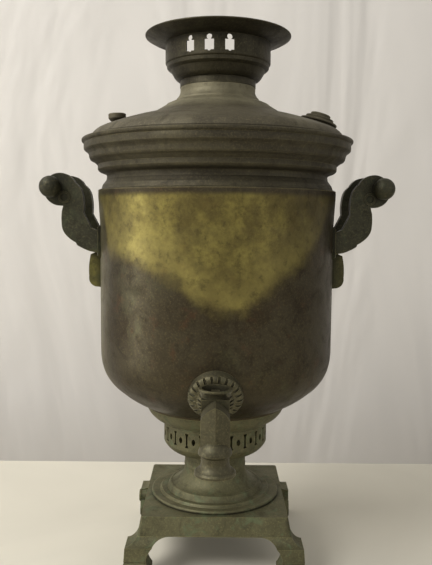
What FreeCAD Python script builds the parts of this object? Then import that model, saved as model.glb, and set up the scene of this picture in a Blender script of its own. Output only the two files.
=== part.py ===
import FreeCAD, Part
import math
import os

import Sketcher
from FreeCAD import Placement, Rotation, Vector

# A charcoal samovar of brass, in millimetres. The origin lies on the vessel's axis at the height of the surface it
# stands on, +Z is up, and the tap points along -Y.

os.makedirs("parts", exist_ok=True)
doc = FreeCAD.newDocument("Samovar")
sheet = doc.addObject("Spreadsheet::Sheet", "Sizes")

SIZES = {
    # plinth tray and feet
    "plinth_side": 126.7,
    "plinth_flare": 3.1,
    "plinth_corner": 2.5,
    "plinth_height": 52.6,
    "apron_height": 16.4,
    "plate_thickness": 3.0,
    "apron_wall": 3.4,
    "plinth_port": 44.0,
    "lug_side": 18.0,
    "lug_thickness": 5.0,
    "foot_spread": 66.5,
    "foot_lip": 9.4,
    "foot_lip_drop": 6.2,
    "foot_toe": 10.4,
    "foot_inset": 8.5,
    "foot_wing": 27.0,
    "foot_waist_height": 20.0,
    "foot_hoof_inset": 12.2,
    "foot_hoof_height": 9.0,
    "foot_groove_height": 17.6,
    "bolt_inset": 10.5,
    "foot_screw_radius": 2.5,
    "foot_screw_head": 4.4,
    "foot_screw_length": 11.0,
    "stud_radius": 4.6,
    "stud_rim_radius": 5.6,
    "stud_rim_thickness": 1.6,
    "stud_reach": 70.9,
    "stud_length": 11.4,
    "stud_depth": -3.0,
    "stud_height": 47.0,
    # stepped neck
    "neck_foot_radius": 59.0,
    "neck_step_radius": 50.0,
    "neck_flare_radius": 42.5,
    "neck_radius": 28.4,
    "neck_rise": 38.9,
    "neck_wall": 2.4,
    "moulding_step": 3.0,
    # pierced air gallery
    "gallery_radius": 47.8,
    "gallery_bowl_rise": 11.0,
    "gallery_height": 28.6,
    "gallery_wall": 1.8,
    "gallery_slots": 22,
    "slot_height": 12.8,
    "slot_width": 1.9,
    "slot_flare": 1.9,
    "slot_end_depth": 2.2,
    "oval_height": 6.2,
    "oval_width": 3.8,
    "slot_drop": 8.2,
    "slot_turn": 1.0,
    # vessel
    "collar_radius": 64.2,
    "collar_height": 16.8,
    "collar_wall": 2.6,
    "vessel_radius": 105.5,
    "vessel_lip_radius": 106.9,
    "vessel_height": 194.6,
    "vessel_wall": 1.8,
    "lip_drop": 6.0,
    "belly_rise": 17.0,
    "belly_radius": 89.2,
    "floor_radius": 64.4,
    "shoulder_height": 22.8,
    "shoulder_radius": 103.6,
    "shoulder_waist": 99.3,
    "shoulder_lip_radius": 107.2,
    "crown_radius": 121.1,
    "crown_height": 22.4,
    "crown_wall": 2.0,
    "mouth_radius": 106.0,
    # firebox and chimney
    "firebox_radius": 44.0,
    "firebox_wall": 2.2,
    "firebox_straight": 80.0,
    "chimney_radius": 30.6,
    "chimney_wall": 1.6,
    "chimney_height": 316.0,
    "grate_thickness": 3.0,
    "grate_slot_width": 3.8,
    "grate_slot_pitch": 9.0,
    "grate_ledge": 3.0,
    "fit_clearance": 0.3,
    # lid
    "lid_radius": 113.5,
    "lid_wall": 1.6,
    "lid_rim_thickness": 2.0,
    "lid_dome_rise": 22.0,
    "lid_bead_radius": 47.0,
    "lid_bead_rise": 31.6,
    "lid_neck_radius": 33.7,
    "lid_height": 47.6,
    "lid_skirt_drop": 8.0,
    "knob_reach": 90.5,
    "knob_radius": 7.9,
    "knob_stem_radius": 3.0,
    "knob_height": 10.6,
    "knob_tilt": 2.0,
    "knob_foot_radius": 4.4,
    "boss_depth": 3.4,
    "knob_rise": 14.4,
    "vent_reach": 90.6,
    "vent_radius": 16.75,
    "vent_height": 9.0,
    "vent_tilt": 16.5,
    "vent_bore": 5.0,
    "vent_rise": 16.4,
    "vent_seat_wall": 1.8,
    "vent_seat_length": 9.2,
    "vent_flange": 1.2,
    "nut_thickness": 3.0,
    "nut_gap": 3.6,
    # teapot stand
    "stand_radius": 47.1,
    "stand_rim_radius": 64.5,
    "stand_foot_rise": 21.4,
    "stand_height": 45.5,
    "stand_brim_rise": 7.8,
    "stand_wall": 1.8,
    "stand_skirt": 5.5,
    "window_width": 8.0,
    "window_height": 8.9,
    "window_knob_width": 2.8,
    "window_knob_depth": 4.2,
    "window_tab_depth": 1.0,
    "window_drop": 17.4,
    "window_angle": 21.2,
    "window_centre": -9.2,
    # handles
    "grip_reach": 144.3,
    "grip_height": 334.4,
    "grip_radius": 11.4,
    "grip_end_radius": 10.2,
    "arm_head_radius": 14.3,
    "arm_head_inset": 6.8,
    "arm_head_drop": 1.9,
    "volute_radius": 5.2,
    "volute_width": 1.6,
    "volute_inset": 10.3,
    "volute_drop": 8.6,
    "relief": 1.0,
    "grip_rod_radius": 3.0,
    "finial_radius": 9.4,
    "grip_gap": 0.1,
    "arm_spread": 22.0,
    "arm_thickness": 8.4,
    "arm_foot_drop": 46.0,
    "root_top_drop": 33.0,
    "root_bottom_drop": 62.0,
    "root_angle": 29.5,
    "root_thickness": 2.6,
    "tongue_drop": 89.4,
    "tongue_angle": 9.4,
    "tongue_thickness": 10.6,
    "rivet_radius": 2.6,
    "rivet_head_radius": 4.4,
    "rivet_head_height": 2.0,
    "rivet_seat": 1.1,
    "rivet_spread": 9.5,
    "rivet_drop": 43.0,
    # tap
    "tap_height": 167.5,
    "tap_reach": 141.0,
    "barrel_radius": 9.4,
    "barrel_flare": 10.9,
    "barrel_lip_radius": 12.4,
    "barrel_drop": 17.5,
    "barrel_rise": 17.5,
    "plug_radius": 6.6,
    "plug_taper": 0.9,
    "plug_clearance": 0.05,
    "water_bore": 4.0,
    "bore_headroom": 0.8,
    "tail_radius": 7.0,
    "tail_collar_radius": 8.6,
    "spout_reach": 26.0,
    "spout_step": 2.6,
    "spout_half_width": 10.3,
    "spout_ridge": 4.2,
    "spout_nose": 3.0,
    "spout_peak": 11.5,
    "spout_collar_radius": 11.9,
    "spout_collar_low": 22.8,
    "spout_collar_high": 12.6,
    "spout_waist_radius": 9.8,
    "spout_mouth_radius": 14.6,
    "spout_mouth_drop": 37.0,
    "spout_bore": 5.6,
    "rosette_radius": 22.0,
    "rosette_dome_radius": 14.8,
    "rosette_thickness": 9.6,
    "rosette_tilt": 27.0,
    "rosette_flutes": 22,
    "flute_radius": 1.2,
    "rosette_reach": 101.0,
    "tail_shoulder": 104.6,
    "tail_end": 74.0,
    "cup_depth": 7.0,
    "tang_side": 6.0,
    "plug_thread": 7.0,
    "plug_thread_radius": 2.6,
    "washer_thickness": 1.4,
    "washer_radius": 7.4,
    "lock_nut_radius": 11.5,
    "lock_nut_thickness": 5.0,
    "gasket_face": 84.0,
}


class Size:
    """A length that keeps both its number and the sheet formula that gives it."""

    def __init__(self, number, formula):
        self.number = number
        self.formula = formula

    def __add__(self, other):
        other = size(other)
        return Size(self.number + other.number, f"({self.formula} + {other.formula})")

    def __sub__(self, other):
        other = size(other)
        return Size(self.number - other.number, f"({self.formula} - {other.formula})")

    def __mul__(self, factor):
        factor = size(factor)
        return Size(self.number * factor.number, f"({self.formula} * {factor.formula})")

    def __truediv__(self, factor):
        factor = size(factor)
        return Size(self.number / factor.number, f"({self.formula} / {factor.formula})")

    def __neg__(self):
        return Size(-self.number, f"(-1 * {self.formula})")

    def __radd__(self, other):
        return size(other) + self

    def __rsub__(self, other):
        return size(other) - self

    def __rtruediv__(self, other):
        return size(other) / self

    def __rmul__(self, factor):
        return size(factor) * self


def size(value):
    """A plain number as a Size; a Size stays as it is."""
    if isinstance(value, Size):
        return value
    return Size(float(value), f"{float(value):.4f}")


class Sheet:
    """Each sheet cell as a Size, by its alias."""

    def __getattr__(self, name):
        return Size(SIZES[name], f"Sizes.{name}")


for row, (alias, number) in enumerate(SIZES.items(), start=1):
    sheet.set(f"A{row}", alias)
    sheet.set(f"B{row}", str(number))
    sheet.setAlias(f"B{row}", alias)
doc.recompute()
S = Sheet()
hidden = []

# Levels above the floor, each stacked on the piece below
PLINTH_TOP = S.plinth_height
APRON_BOTTOM = PLINTH_TOP - S.apron_height
NECK_TOP = PLINTH_TOP + S.neck_rise
GALLERY_TOP = NECK_TOP + S.gallery_height
VESSEL_BOTTOM = GALLERY_TOP + S.collar_height
VESSEL_TOP = VESSEL_BOTTOM + S.vessel_height
SHOULDER_TOP = VESSEL_TOP + S.shoulder_height
CROWN_TOP = SHOULDER_TOP + S.crown_height
LID_TOP = CROWN_TOP + S.lid_height
STAND_TOP = LID_TOP + S.stand_height
CHIMNEY_TOP = GALLERY_TOP + S.chimney_height
GRIP_Z = S.grip_height
KNOB_Z = CROWN_TOP + S.knob_rise
VENT_Z = CROWN_TOP + S.vent_rise
CORNERS = 4
FLUTE_SHARE = 0.6


def origin_plane(body, role):
    for feature in body.Origin.OriginFeatures:
        if feature.Role == role:
            return feature
    raise ValueError(role)


def new_sketch(body, name, role, offset=None):
    """A sketch on one of the body's own origin planes, moved by an offset placement within it."""
    sketch = body.newObject("Sketcher::SketchObject", name)
    sketch.AttachmentSupport = [(origin_plane(body, role), "")]
    sketch.MapMode = "FlatFace"
    if offset is not None:
        sketch.AttachmentOffset = offset
    return sketch


def draw(sketch, outline):
    """Closes an outline of (across, up) or (across, up, bulge) points; bulge is an arc's sagitta to the next point."""
    count = len(outline)
    spots = [(size(p[0]), size(p[1])) for p in outline]
    lines = []
    for i, point in enumerate(outline):
        ax, ay = spots[i][0].number, spots[i][1].number
        bx, by = spots[(i + 1) % count][0].number, spots[(i + 1) % count][1].number
        start, end = Vector(ax, ay, 0), Vector(bx, by, 0)
        if len(point) > 2:
            bulge = size(point[2]).number
            along = (end - start).normalize()
            middle = (start + end) * 0.5 + Vector(along.y, -along.x, 0) * bulge
            lines.append(Part.Arc(start, middle, end))
        else:
            lines.append(Part.LineSegment(start, end))
    first = sketch.GeometryCount
    sketch.addGeometry(lines, False)
    starts = []
    for i in range(count):
        starts.append(start_vertex(sketch, first + i, spots[i]))
    for i in range(count):
        here, after = first + i, (i + 1) % count
        end_vertex = 3 - starts[i]
        sketch.addConstraint(Sketcher.Constraint("Coincident", here, end_vertex, first + after, starts[after]))
    for i, (across, up) in enumerate(spots):
        pin(sketch, first + i, starts[i], across, up)
    for i, point in enumerate(outline):
        if len(point) > 2:
            radius = arc_radius(spots[i], spots[(i + 1) % count], size(point[2]))
            index = sketch.addConstraint(Sketcher.Constraint("Radius", first + i, radius.number))
            sketch.setExpression(f"Constraints[{index}]", radius.formula)


def start_vertex(sketch, geometry, spot):
    """1 or 2: which end of a line or arc lies on the given spot, as arcs always run anticlockwise."""
    place = sketch.getPoint(geometry, 1)
    near = math.hypot(place.x - spot[0].number, place.y - spot[1].number)
    return 1 if near < 1e-6 else 2


def pin(sketch, geometry, vertex, across, up):
    """Fixes a vertex at its two sizes, or on an axis where a size is nought."""
    for kind, axis, value in (("DistanceX", -2, across), ("DistanceY", -1, up)):
        if abs(value.number) < 1e-9:
            sketch.addConstraint(Sketcher.Constraint("PointOnObject", geometry, vertex, axis))
        else:
            index = sketch.addConstraint(Sketcher.Constraint(kind, -1, 1, geometry, vertex, value.number))
            sketch.setExpression(f"Constraints[{index}]", value.formula)


def arc_radius(start, end, sagitta):
    """The radius of the arc over a chord with the given sagitta, as a Size."""
    dx, dy = end[0] - start[0], end[1] - start[1]
    chord_squared = dx * dx + dy * dy
    height = Size(abs(sagitta.number), f"abs({sagitta.formula})")
    return (chord_squared / 4 + height * height) / (height * 2)


def place(thing, across=0, depth=0, up=0, axis=None, angle=0):
    """Puts a sub-part at three sizes, turned about an axis by an angle in degrees."""
    spot = [size(across), size(depth), size(up)]
    turn = size(angle)
    rotation = Rotation(axis, turn.number) if axis else Rotation()
    thing.Placement = Placement(Vector(*[s.number for s in spot]), rotation)
    for letter, value in zip("xyz", spot):
        thing.setExpression(f"Placement.Base.{letter}", value.formula)
    if axis:
        thing.setExpression("Placement.Rotation.Angle", turn.formula)


def new_body(label):
    body = doc.addObject("PartDesign::Body", label)
    body.Label = label
    return body


def turn(body, outline, kind="Revolution", name="profile", offset=None):
    """Turns an outline of (radius, height) points about the vertical axis, adding or cutting."""
    sketch = new_sketch(body, f"{body.Label}_{name}", "XZ_Plane", offset)
    draw(sketch, outline)
    feature = body.newObject(f"PartDesign::{kind}", f"{body.Label}_{kind}_{name}")
    feature.Profile = sketch
    feature.ReferenceAxis = (sketch, ["V_Axis"])
    feature.Angle = 360
    sketch.Visibility = False
    return feature


def turned(label, outline):
    body = new_body(label)
    turn(body, outline)
    return body


def circle(sketch, across, up, radius):
    """A circle in a sketch, with its centre and radius as sizes."""
    across, up, radius = size(across), size(up), size(radius)
    centre = Vector(across.number, up.number, 0)
    index = sketch.addGeometry(Part.Circle(centre, Vector(0, 0, 1), radius.number), False)
    pin(sketch, index, 3, across, up)
    rule = sketch.addConstraint(Sketcher.Constraint("Radius", index, radius.number))
    sketch.setExpression(f"Constraints[{rule}]", radius.formula)


def pad(body, name, role, shapes, length, offset=None, kind="Pad", both=False, back=False):
    """Pads or pockets a sketch that a list of drawing calls fills."""
    sketch = new_sketch(body, f"{body.Label}_{name}", role, offset)
    for shape in shapes:
        shape(sketch)
    feature = body.newObject(f"PartDesign::{kind}", f"{body.Label}_{kind}_{name}")
    feature.Profile = sketch
    feature.Length = size(length).number
    feature.setExpression("Length", size(length).formula)
    feature.Midplane = both
    feature.Reversed = back
    sketch.Visibility = False
    return feature


def repeat(body, feature, count, axis="Z_Axis"):
    """Repeats a feature evenly round an axis of the body."""
    pattern = body.newObject("PartDesign::PolarPattern", f"{feature.Name}_pattern")
    pattern.Originals = [feature]
    pattern.Axis = (origin_plane(body, axis), [""])
    pattern.Angle = 360
    pattern.Occurrences = int(size(count).number)
    if isinstance(count, Size):
        pattern.setExpression("Occurrences", count.formula)
    body.Tip = pattern
    return pattern


def slab(low, high):
    """Drawing call for a rectangle between two corner points."""
    def shape(sketch):
        draw(sketch, [(low[0], low[1]), (high[0], low[1]), (high[0], high[1]), (low[0], high[1])])
    return shape


def disc(across, up, radius):
    """Drawing call for a circle."""
    def shape(sketch):
        circle(sketch, across, up, radius)
    return shape


def path(outline):
    """Drawing call for an outline of points and arcs."""
    def shape(sketch):
        draw(sketch, outline)
    return shape


def square(half, corner, shift=0):
    """Outline of a square with rounded corners, its centre moved both ways by a shift."""
    half, corner, shift = size(half), size(corner), size(shift)
    inner = half - corner
    bulge = corner * (1 - math.sqrt(0.5))
    corners = [
        (-inner, -half), (inner, -half, bulge),
        (half, -inner), (half, inner, bulge),
        (inner, half), (-inner, half, bulge),
        (-half, inner), (-half, -inner, bulge),
    ]
    return [(p[0] + shift, p[1] + shift) + p[2:] for p in corners]


def backward(points):
    """An open outline walked the other way, with each arc kept in its place."""
    walked = []
    for i in range(len(points) - 1, -1, -1):
        bulge = tuple(-size(b) for b in points[i - 1][2:]) if i > 0 else ()
        walked.append(tuple(points[i][:2]) + bulge)
    return walked


def lift(amount):
    """Offset of a sketch along its plane's normal."""
    return Placement(Vector(0, 0, size(amount).number), Rotation())


def lift_sketch(sketch, amount):
    sketch.setExpression("AttachmentOffset.Base.z", size(amount).formula)


def loft(body, name, sections, kind="AdditiveLoft"):
    """Ruled loft through (height, outline) sections."""
    sketches = []
    for i, (level, outline) in enumerate(sections):
        sketch = new_sketch(body, f"{body.Label}_{name}_{i}", "XY_Plane", lift(level))
        lift_sketch(sketch, level)
        draw(sketch, outline)
        sketch.Visibility = False
        sketches.append(sketch)
    feature = body.newObject(f"PartDesign::{kind}", f"{body.Label}_{kind}_{name}")
    feature.Profile = sketches[0]
    feature.Sections = sketches[1:]
    feature.Ruled = True
    return feature


def plinth():
    """Square tray: flat top, flaring apron, and a lug in each corner for a foot."""
    body = new_body("plinth")
    half = S.plinth_side / 2
    loft(body, "outside", [
        (APRON_BOTTOM, square(half + S.plinth_flare, S.plinth_corner)),
        (PLINTH_TOP, square(half, S.plinth_corner)),
    ])
    wall = S.apron_wall
    loft(body, "hollow", [
        (APRON_BOTTOM - 1, square(half + S.plinth_flare - wall, S.plinth_corner / 2)),
        (PLINTH_TOP - S.plate_thickness, square(half - wall, S.plinth_corner / 2)),
    ], "SubtractiveLoft")
    pad(body, "port", "XY_Plane", [disc(0, 0, S.plinth_port)], PLINTH_TOP + 1, kind="Pocket", back=True)
    reach = half + S.plinth_flare - wall / 2
    inner = reach - S.lug_side
    lug = pad(body, "lug", "XY_Plane", [slab((inner, inner), (reach, reach))], S.lug_thickness,
              lift(APRON_BOTTOM))
    lift_sketch(lug.Profile[0], APRON_BOTTOM)
    repeat(body, lug, CORNERS)
    bolt = S.foot_spread - S.bolt_inset
    hole = pad(body, "bolt_hole", "XY_Plane", [disc(bolt, bolt, S.foot_screw_radius + S.fit_clearance)],
               S.lug_thickness, lift(APRON_BOTTOM), kind="Pocket", back=True)
    lift_sketch(hole.Profile[0], APRON_BOTTOM)
    repeat(body, hole, CORNERS)
    pad(body, "stud_hole", "YZ_Plane", [disc(S.stud_depth, S.stud_height, S.stud_radius)], S.plinth_side,
        kind="Pocket")
    return body


def foot(label, across, depth, quarter):
    """Cast bracket foot: both outer faces curve out to a lip under the tray's corner, over a squared hoof."""
    body = new_body(label)
    lip, toe, inset, wing = S.foot_lip, S.foot_toe, S.foot_inset, S.foot_wing
    waist, hoof = S.foot_waist_height, S.foot_hoof_inset
    groove = S.foot_groove_height
    outer = [
        (toe - 2.4, 0, 0.7), (toe, 2.6), (toe, groove - 1, -0.6), (toe - 0.2, groove + 1),
        (lip, APRON_BOTTOM - S.foot_lip_drop, -1.6), (0, APRON_BOTTOM),
    ]
    inner = [(-wing, APRON_BOTTOM, -4.2), (-inset, waist, -0.6), (-hoof, S.foot_hoof_height, 0.9), (2.4 - hoof, 0)]
    far, over = wing * 2, APRON_BOTTOM + 1
    beyond_outer = backward(outer) + [(far, -1), (far, over), (0, over)]
    beyond_inner = backward(inner) + [(-far, over), (-far, -1)]
    pad(body, "front", "XZ_Plane", [path(outer + inner)], far, both=True)
    pad(body, "side_trim", "YZ_Plane", [path(beyond_outer), path(beyond_inner)], far * 2, kind="Pocket", both=True)
    bolt = -S.bolt_inset
    hole = pad(body, "screw_hole", "XY_Plane", [disc(bolt, bolt, S.foot_screw_radius)],
               S.foot_screw_length - S.lug_thickness, lift(APRON_BOTTOM), kind="Pocket")
    lift_sketch(hole.Profile[0], APRON_BOTTOM)
    place(body, across, depth, 0, Vector(0, 0, 1), quarter)
    return body


def foot_screws():
    """Four screws, one down through each corner lug into its foot."""
    head = APRON_BOTTOM + S.lug_thickness
    tip, crest = head - S.foot_screw_length, head + S.foot_screw_head * 0.6
    screw = turned("foot_screw_form", [
        (0, tip), (S.foot_screw_radius, tip), (S.foot_screw_radius, head), (S.foot_screw_head, head),
        (S.foot_screw_head, head + 1.2, 0.3), (S.foot_screw_head * 0.5, crest), (0, crest),
    ])
    bolt = (S.foot_spread - S.bolt_inset).number
    return group("foot_screws", screw, [Placement(Vector(bolt * side, bolt * end, 0), Rotation())
                                        for side in (-1, 1) for end in (-1, 1)])


def group(label, form, placements):
    """Several copies of one hidden form as separate solids of one sub-part."""
    doc.recompute()
    copies = []
    for placement in placements:
        copy = form.Shape.copy()
        copy.Placement = placement.multiply(form.Placement)
        copies.append(copy)
    feature = doc.addObject("Part::Feature", label)
    feature.Label = label
    feature.Shape = Part.makeCompound(copies)
    hidden.append(form.Name)
    return feature


def side_stud():
    """Round peg through the left apron, with a small rim outside."""
    rim = S.stud_rim_thickness
    body = turned("side_stud", [
        (0, 0), (S.stud_radius, 0), (S.stud_radius, S.stud_length - rim), (S.stud_rim_radius, S.stud_length - rim),
        (S.stud_rim_radius, S.stud_length - 0.4), (S.stud_rim_radius - 0.6, S.stud_length), (0, S.stud_length),
    ])
    place(body, S.stud_length - S.stud_reach, S.stud_depth, S.stud_height, Vector(0, 1, 0), -90)
    return body


def neck():
    """Round stepped foot that rises in a hollow curve to the narrow neck."""
    base, rise = PLINTH_TOP, S.moulding_step
    wide, step, flare, thin = S.neck_foot_radius, S.neck_step_radius, S.neck_flare_radius, S.neck_radius
    wall = S.neck_wall
    curve_top = base + S.neck_rise * 0.68
    return turned("neck", [
        (flare - wall, base), (wide, base, 0.8), (wide - 0.8, base + rise),
        (step + 1.6, base + rise * 0.85), (step, base + rise * 1.5), (flare + 2, base + rise * 1.4),
        (flare, base + rise * 2.9, 0.5), (flare - 2.6, base + rise * 3.1, -4.0), (thin + 0.4, curve_top),
        (thin, curve_top + 2), (thin, NECK_TOP), (thin - wall, NECK_TOP), (thin - wall, curve_top, 3.4),
        (flare - wall * 2, base + rise * 1.6),
    ])


def air_gallery():
    """Pierced bowl and band that lets air in under the grate."""
    thin, wide, wall = S.neck_radius, S.gallery_radius, S.gallery_wall
    bowl, ledge = NECK_TOP + S.gallery_bowl_rise, S.firebox_radius - S.firebox_wall - S.grate_ledge
    body = turned("air_gallery", [
        (thin - S.neck_wall, NECK_TOP), (thin, NECK_TOP), (thin + 1.2, NECK_TOP + 1, 3.4), (wide, bowl),
        (wide, GALLERY_TOP), (ledge, GALLERY_TOP), (ledge, GALLERY_TOP - wall), (wide - wall, GALLERY_TOP - wall),
        (wide - wall, bowl, -3.1), (thin, NECK_TOP + 2.8), (thin - S.neck_wall, NECK_TOP + 2),
    ])
    middle = GALLERY_TOP - S.slot_drop
    side, end, flare = S.slot_width / 2, S.slot_height / 2, S.slot_flare
    neck, tip = end - S.slot_end_depth, end - 0.6
    slot = pad(body, "slot", "XZ_Plane", [path([
        (-side, middle - neck), (-flare, middle - tip), (-flare, middle - end), (flare, middle - end),
        (flare, middle - tip), (side, middle - neck), (side, middle + neck), (flare, middle + tip),
        (flare, middle + end), (-flare, middle + end), (-flare, middle + tip), (-side, middle + neck),
    ])], wide + 5, turned_plane(S.slot_turn), kind="Pocket", back=True)
    repeat(body, slot, S.gallery_slots)
    tall, low = S.oval_height / 2, middle - 0.4
    oval = pad(body, "oval", "XZ_Plane", [path([
        (0, low - tall, S.oval_width / 2), (0, low + tall, S.oval_width / 2),
    ])], wide + 5, turned_plane(S.slot_turn + 180 / S.gallery_slots), kind="Pocket", back=True)
    repeat(body, oval, S.gallery_slots)
    return body


def turned_plane(angle):
    """Offset that turns a sketch on an upright plane about the vertical axis."""
    return Placement(Vector(0, 0, 0), Rotation(Vector(0, 1, 0), size(angle).number))


def vessel_collar():
    """Spun ring that joins the gallery to the vessel's underside."""
    low, high = GALLERY_TOP, VESSEL_BOTTOM
    inner, wall = S.firebox_radius, S.collar_wall
    wide, edge = S.gallery_radius + 0.6, S.collar_radius
    return turned("vessel_collar", [
        (inner, low), (wide, low), (wide, low + 2.1, 2.9), (edge, high), (edge - wall, high, -2.2),
        (wide - 1, low + wall + 2.4), (inner, low + wall),
    ])


def vessel_outside():
    """Outer outline of the vessel from its underside to its lip."""
    low, wide, belly, rise = VESSEL_BOTTOM, S.vessel_radius, S.belly_radius, S.belly_rise
    lip = S.vessel_lip_radius
    return [
        (S.floor_radius, low), (S.floor_radius + 0.3, low + 1.8, 1.3), (belly, low + rise, 2.5),
        (wide - 1.3, low + rise + 23.1, 0.4), (wide, low + rise + 37), (wide, VESSEL_TOP - S.lip_drop * 5),
        (lip, VESSEL_TOP - S.lip_drop), (lip, VESSEL_TOP),
    ]


def vessel_inside():
    """Inner outline of the vessel from its lip down to its floor."""
    low, wall, rise = VESSEL_BOTTOM, S.vessel_wall, S.belly_rise
    wide, belly, lip = S.vessel_radius - wall, S.belly_radius, S.vessel_lip_radius - wall
    return [
        (lip, VESSEL_TOP), (lip, VESSEL_TOP - S.lip_drop), (wide, VESSEL_TOP - S.lip_drop * 5),
        (wide, low + rise + 37, -0.4), (wide - 1.3, low + rise + 23.5, -2.4), (belly - 1.2, low + rise + 1.4, -1.2),
        (S.floor_radius - 0.4, low + wall + 1.6), (S.floor_radius - 1.2, low + wall),
    ]


def body_shell():
    """Water vessel: straight wall, rounded belly and a floor with a hole for the firebox."""
    pipe = S.firebox_radius
    outline = [(pipe, VESSEL_BOTTOM)] + vessel_outside() + vessel_inside() + [(pipe, VESSEL_BOTTOM + S.vessel_wall)]
    body = turned("body_shell", outline)
    pad(body, "tap_hole", "XZ_Plane", [disc(0, S.tap_height, S.tail_radius)], S.vessel_radius + 5,
        kind="Pocket", back=True)
    rivets = GRIP_Z - S.rivet_drop
    for name, spread in (("near", -S.rivet_spread), ("far", S.rivet_spread)):
        pad(body, f"rivet_holes_{name}", "YZ_Plane", [disc(spread, rivets, S.rivet_radius)],
            S.vessel_radius * 3, kind="Pocket", both=True)
    return body


def shoulder_ring():
    """Ribbed ring that steps in above the shell and out again under the crown."""
    low, lip = VESSEL_TOP, S.vessel_lip_radius
    bead, waist, top = S.shoulder_radius, S.shoulder_waist, S.shoulder_lip_radius
    wall = S.crown_wall
    return turned("shoulder_ring", [
        (waist - wall, low), (lip, low), (lip, low + 0.8, 0.2), (bead + 0.8, low + 1.5), (bead, low + 3.4, 0.4),
        (bead - 1.8, low + 6.8), (waist + 0.3, low + 10), (waist, low + 12.4, -0.5), (waist + 1.3, low + 15),
        (top - 3, low + 16.4, 0.4), (top, low + 18.8), (top, SHOULDER_TOP), (top - wall * 2, SHOULDER_TOP),
        (waist - wall, low + 13.4),
    ])


def crown_ring():
    """Deep projecting cornice that carries the lid round the wide water mouth."""
    low, top, wall = SHOULDER_TOP, CROWN_TOP, S.crown_wall
    foot, edge, mouth = S.shoulder_lip_radius, S.crown_radius, S.mouth_radius
    return turned("crown_ring", [
        (foot - wall * 2, low), (foot, low), (foot + 0.8, low + 0.5, -0.4), (foot + 6.2, low + 4.2),
        (foot + 7.2, low + 5.6), (foot + 7.8, low + 9, -0.4), (edge - 3, low + 12.2), (edge - 2, low + 13.2, 0.3),
        (edge - 2, low + 18.6), (edge - 1, low + 19.4, 0.2), (edge, low + 20.8), (edge, top - 0.6),
        (edge - 0.6, top), (mouth, top), (mouth, top - wall), (edge - 5, top - wall), (edge - 5, low + 14.4),
        (foot + 5.2, low + 10.4), (foot + 4.2, low + 6.4), (foot - 0.5, low + 3.4),
    ])


def firebox_pipe():
    """Firebox that narrows into the chimney, standing through the water."""
    low = GALLERY_TOP
    wide, wall = S.firebox_radius, S.firebox_wall
    thin, skin = S.chimney_radius, S.chimney_wall
    shoulder = low + S.firebox_straight
    return turned("firebox_pipe", [
        (wide - wall, low), (wide, low), (wide, shoulder, 3.0), (thin, shoulder + 70), (thin, CHIMNEY_TOP),
        (thin - skin, CHIMNEY_TOP), (thin - skin, shoulder + 70, -3.0), (wide - wall, shoulder),
    ])


def fire_grate():
    """Round cast grate with parallel slots, lying on the gallery's lip inside the firebox."""
    radius = S.firebox_radius - S.firebox_wall - S.fit_clearance
    body = turned("fire_grate", [
        (0, GALLERY_TOP), (radius, GALLERY_TOP), (radius, GALLERY_TOP + S.grate_thickness),
        (0, GALLERY_TOP + S.grate_thickness),
    ])
    half_slot = S.grate_slot_width / 2
    bars = []
    for i in range(-3, 4):
        centre = S.grate_slot_pitch * i
        reach = radius * (0.82 - 0.07 * abs(i))
        bars.append(slab((centre - half_slot, -reach), (centre + half_slot, reach)))
    cut = pad(body, "slots", "XY_Plane", bars, S.grate_thickness, lift(GALLERY_TOP), kind="Pocket", back=True)
    lift_sketch(cut.Profile[0], GALLERY_TOP)
    return body


def tilted(reach, up, angle):
    """Offset that puts a level sketch out along X at a height, leaning outward by an angle."""
    return Placement(Vector(size(reach).number, 0, size(up).number), Rotation(Vector(0, 1, 0), size(angle).number))


def lid():
    """Shallow dome with a beaded throat and a tapering neck round the chimney, and a skirt in the mouth."""
    rim, throat, bead, wall = CROWN_TOP, S.lid_neck_radius, S.lid_bead_radius, S.lid_wall
    skirt, edge, thick = S.mouth_radius - S.fit_clearance, S.lid_radius, S.lid_rim_thickness
    dome, shelf = rim + S.lid_dome_rise, rim + S.lid_bead_rise
    body = turned("lid", [
        (skirt - wall, rim - S.lid_skirt_drop), (skirt, rim - S.lid_skirt_drop), (skirt, rim), (edge, rim),
        (edge, rim + thick, 1.1), (edge - 9, rim + thick + 7.8, 0.7), (bead + 17.4, dome + 0.4),
        (bead + 11, dome + 2.6), (bead + 0.6, shelf - 0.6), (bead - 0.9, shelf + 0.8), (throat + 4.3, shelf + 4.4),
        (throat + 3.4, shelf + 6, -0.6), (throat, LID_TOP - 4), (throat, LID_TOP), (throat - wall, LID_TOP),
        (throat - wall, shelf + 7.4), (throat + 2.6, shelf + 3.4), (bead - 1.4, shelf - wall + 0.6),
        (bead + 9.6, dome + 1.4), (bead + 17, dome - wall + 0.2, -0.7), (edge - 9.6, rim + thick + 6, -0.9),
        (skirt - wall, rim + thick + 1.8),
    ])
    for name, reach, level, angle, foot_radius, hole in (
        ("knob", -S.knob_reach, KNOB_Z, -S.knob_tilt, S.knob_foot_radius, S.knob_stem_radius),
        ("vent", S.vent_reach, VENT_Z, S.vent_tilt, S.vent_radius - 2, S.vent_bore + S.vent_seat_wall),
    ):
        seat = tilted(reach, level, angle)
        pad(body, f"{name}_boss", "XY_Plane", [disc(0, 0, foot_radius)], S.boss_depth, seat, back=True)
        pad(body, f"{name}_facing", "XY_Plane", [disc(0, 0, foot_radius + S.fit_clearance)], S.boss_depth, seat,
            kind="Pocket", back=True)
        pad(body, f"{name}_hole", "XY_Plane", [disc(0, 0, hole)], 40, seat, kind="Pocket", both=True)
    return body


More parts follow.
